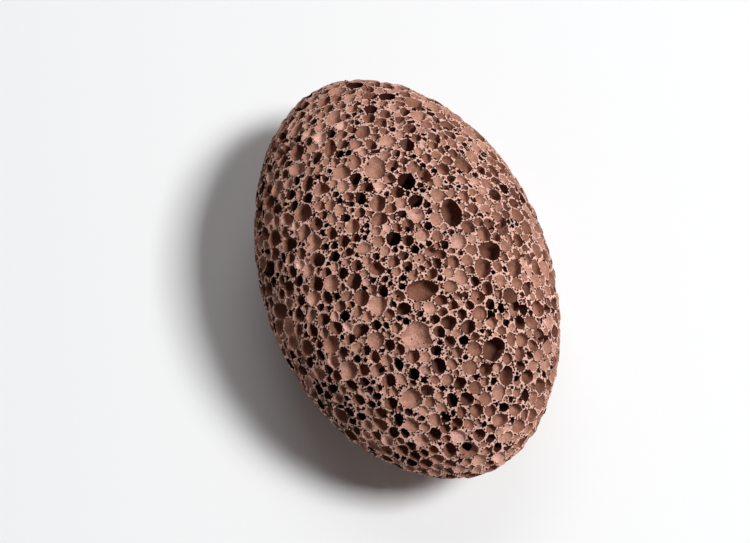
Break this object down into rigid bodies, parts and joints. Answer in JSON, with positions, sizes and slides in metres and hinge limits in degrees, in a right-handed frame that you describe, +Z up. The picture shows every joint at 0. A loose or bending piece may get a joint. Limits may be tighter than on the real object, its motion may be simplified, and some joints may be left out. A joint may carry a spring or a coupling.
{
  "type": "pumice stone",
  "caption": "Flattened egg-shaped stone of porous volcanic foam, open gas bubbles all over its skin, worn flat underneath so it rests steadily.",
  "frame": {"origin": "bottom centre of the stone, on the surface it rests on", "axes": "+X along the length, +Y across the width, +Z up through the thickness"},
  "size_m": [0.1, 0.066, 0.042],
  "materials": {
    "pumice": "dry, rough and matt, reddish brown with paler worn rims and darker pits"
  },
  "bodies": {
    "root": {"pumice_stone": "pumice"}
  },
  "joints": []
}
